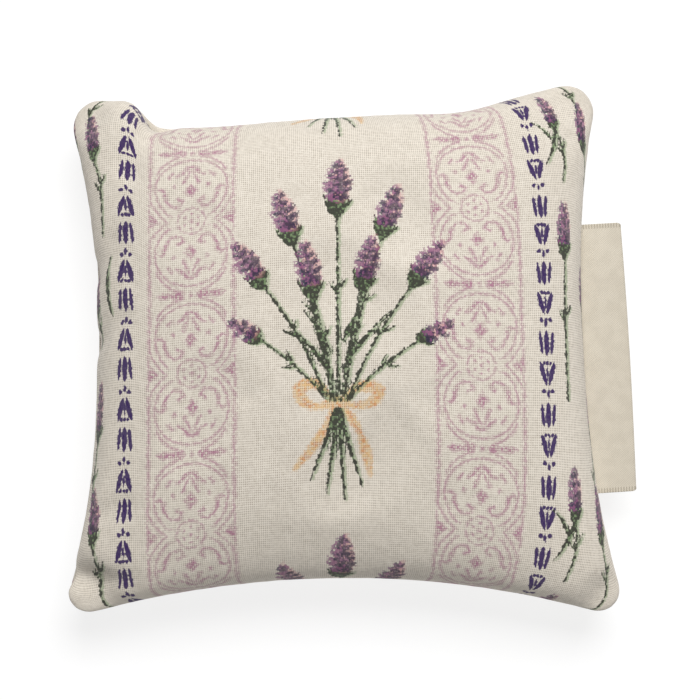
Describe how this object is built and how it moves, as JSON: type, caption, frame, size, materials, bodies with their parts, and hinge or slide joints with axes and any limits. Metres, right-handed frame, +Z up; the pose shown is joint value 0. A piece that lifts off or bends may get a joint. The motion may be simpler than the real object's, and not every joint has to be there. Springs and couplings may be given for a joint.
{
  "type": "lavender sachet",
  "caption": "Small square pillow sachet of printed cotton, plump with dried lavender buds, with drawn-in sides, eared corners and a bare folded tape label in one seam.",
  "frame": {"origin": "middle of the flat patch on the back that the sachet rests on", "axes": "+Z up through the thickness to the front panel, +Y to the top of the print, +X to the side with the label"},
  "size_m": [0.1126, 0.1046, 0.036],
  "materials": {
    "printed_cotton": "plain-weave natural cotton, matt, printed in lilac, violet and green",
    "dried_buds": "loose dried lavender buds, matt",
    "cotton_thread": "spun sewing thread, soft sheen",
    "woven_tape": "woven satin tape, soft sheen"
  },
  "bodies": {
    "root": {"front_panel": "printed_cotton", "back_panel": "printed_cotton", "bud_fill": "dried_buds", "needle_thread": "cotton_thread", "bobbin_thread": "cotton_thread", "closing_thread": "cotton_thread", "label": "woven_tape"}
  },
  "joints": []
}
